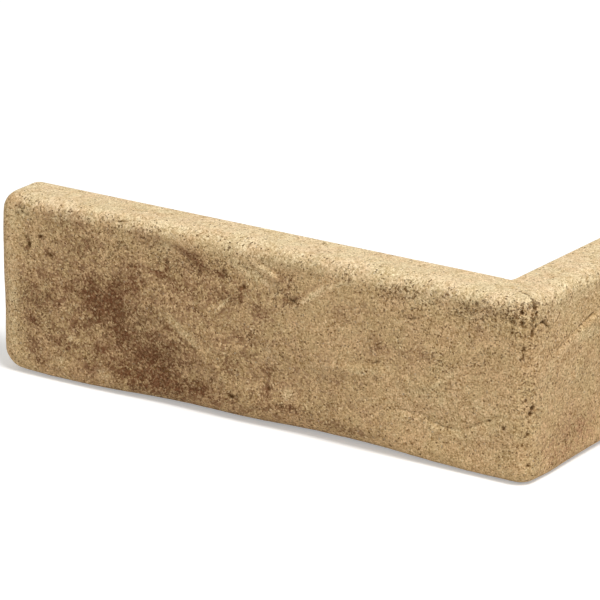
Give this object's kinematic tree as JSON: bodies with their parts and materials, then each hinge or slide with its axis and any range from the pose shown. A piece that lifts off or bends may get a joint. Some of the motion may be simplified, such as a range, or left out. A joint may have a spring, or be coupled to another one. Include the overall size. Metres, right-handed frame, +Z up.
{
  "type": "concrete corner brick slip",
  "caption": "L-shaped concrete brick slip that wraps a wall's outer corner, with a long and a short leg, hand-struck outer faces, worn arrises and flat backs.",
  "frame": {"origin": "middle of the bounding box on the plane of the lower bed, which is the floor that the slip stands on", "axes": "+X along the long leg towards the wall's outer corner, +Y from the long leg's outer face towards its back, +Z up; the long leg's outer face looks to -Y and the short leg's to +X"},
  "size_m": [0.215, 0.1024, 0.065],
  "materials": {
    "sand_concrete": "matt, gritty cast sand concrete, tan with brown stains on the outer faces and cream on the beds"
  },
  "bodies": {
    "root": {"corner_brick_slip": "sand_concrete"}
  },
  "joints": []
}
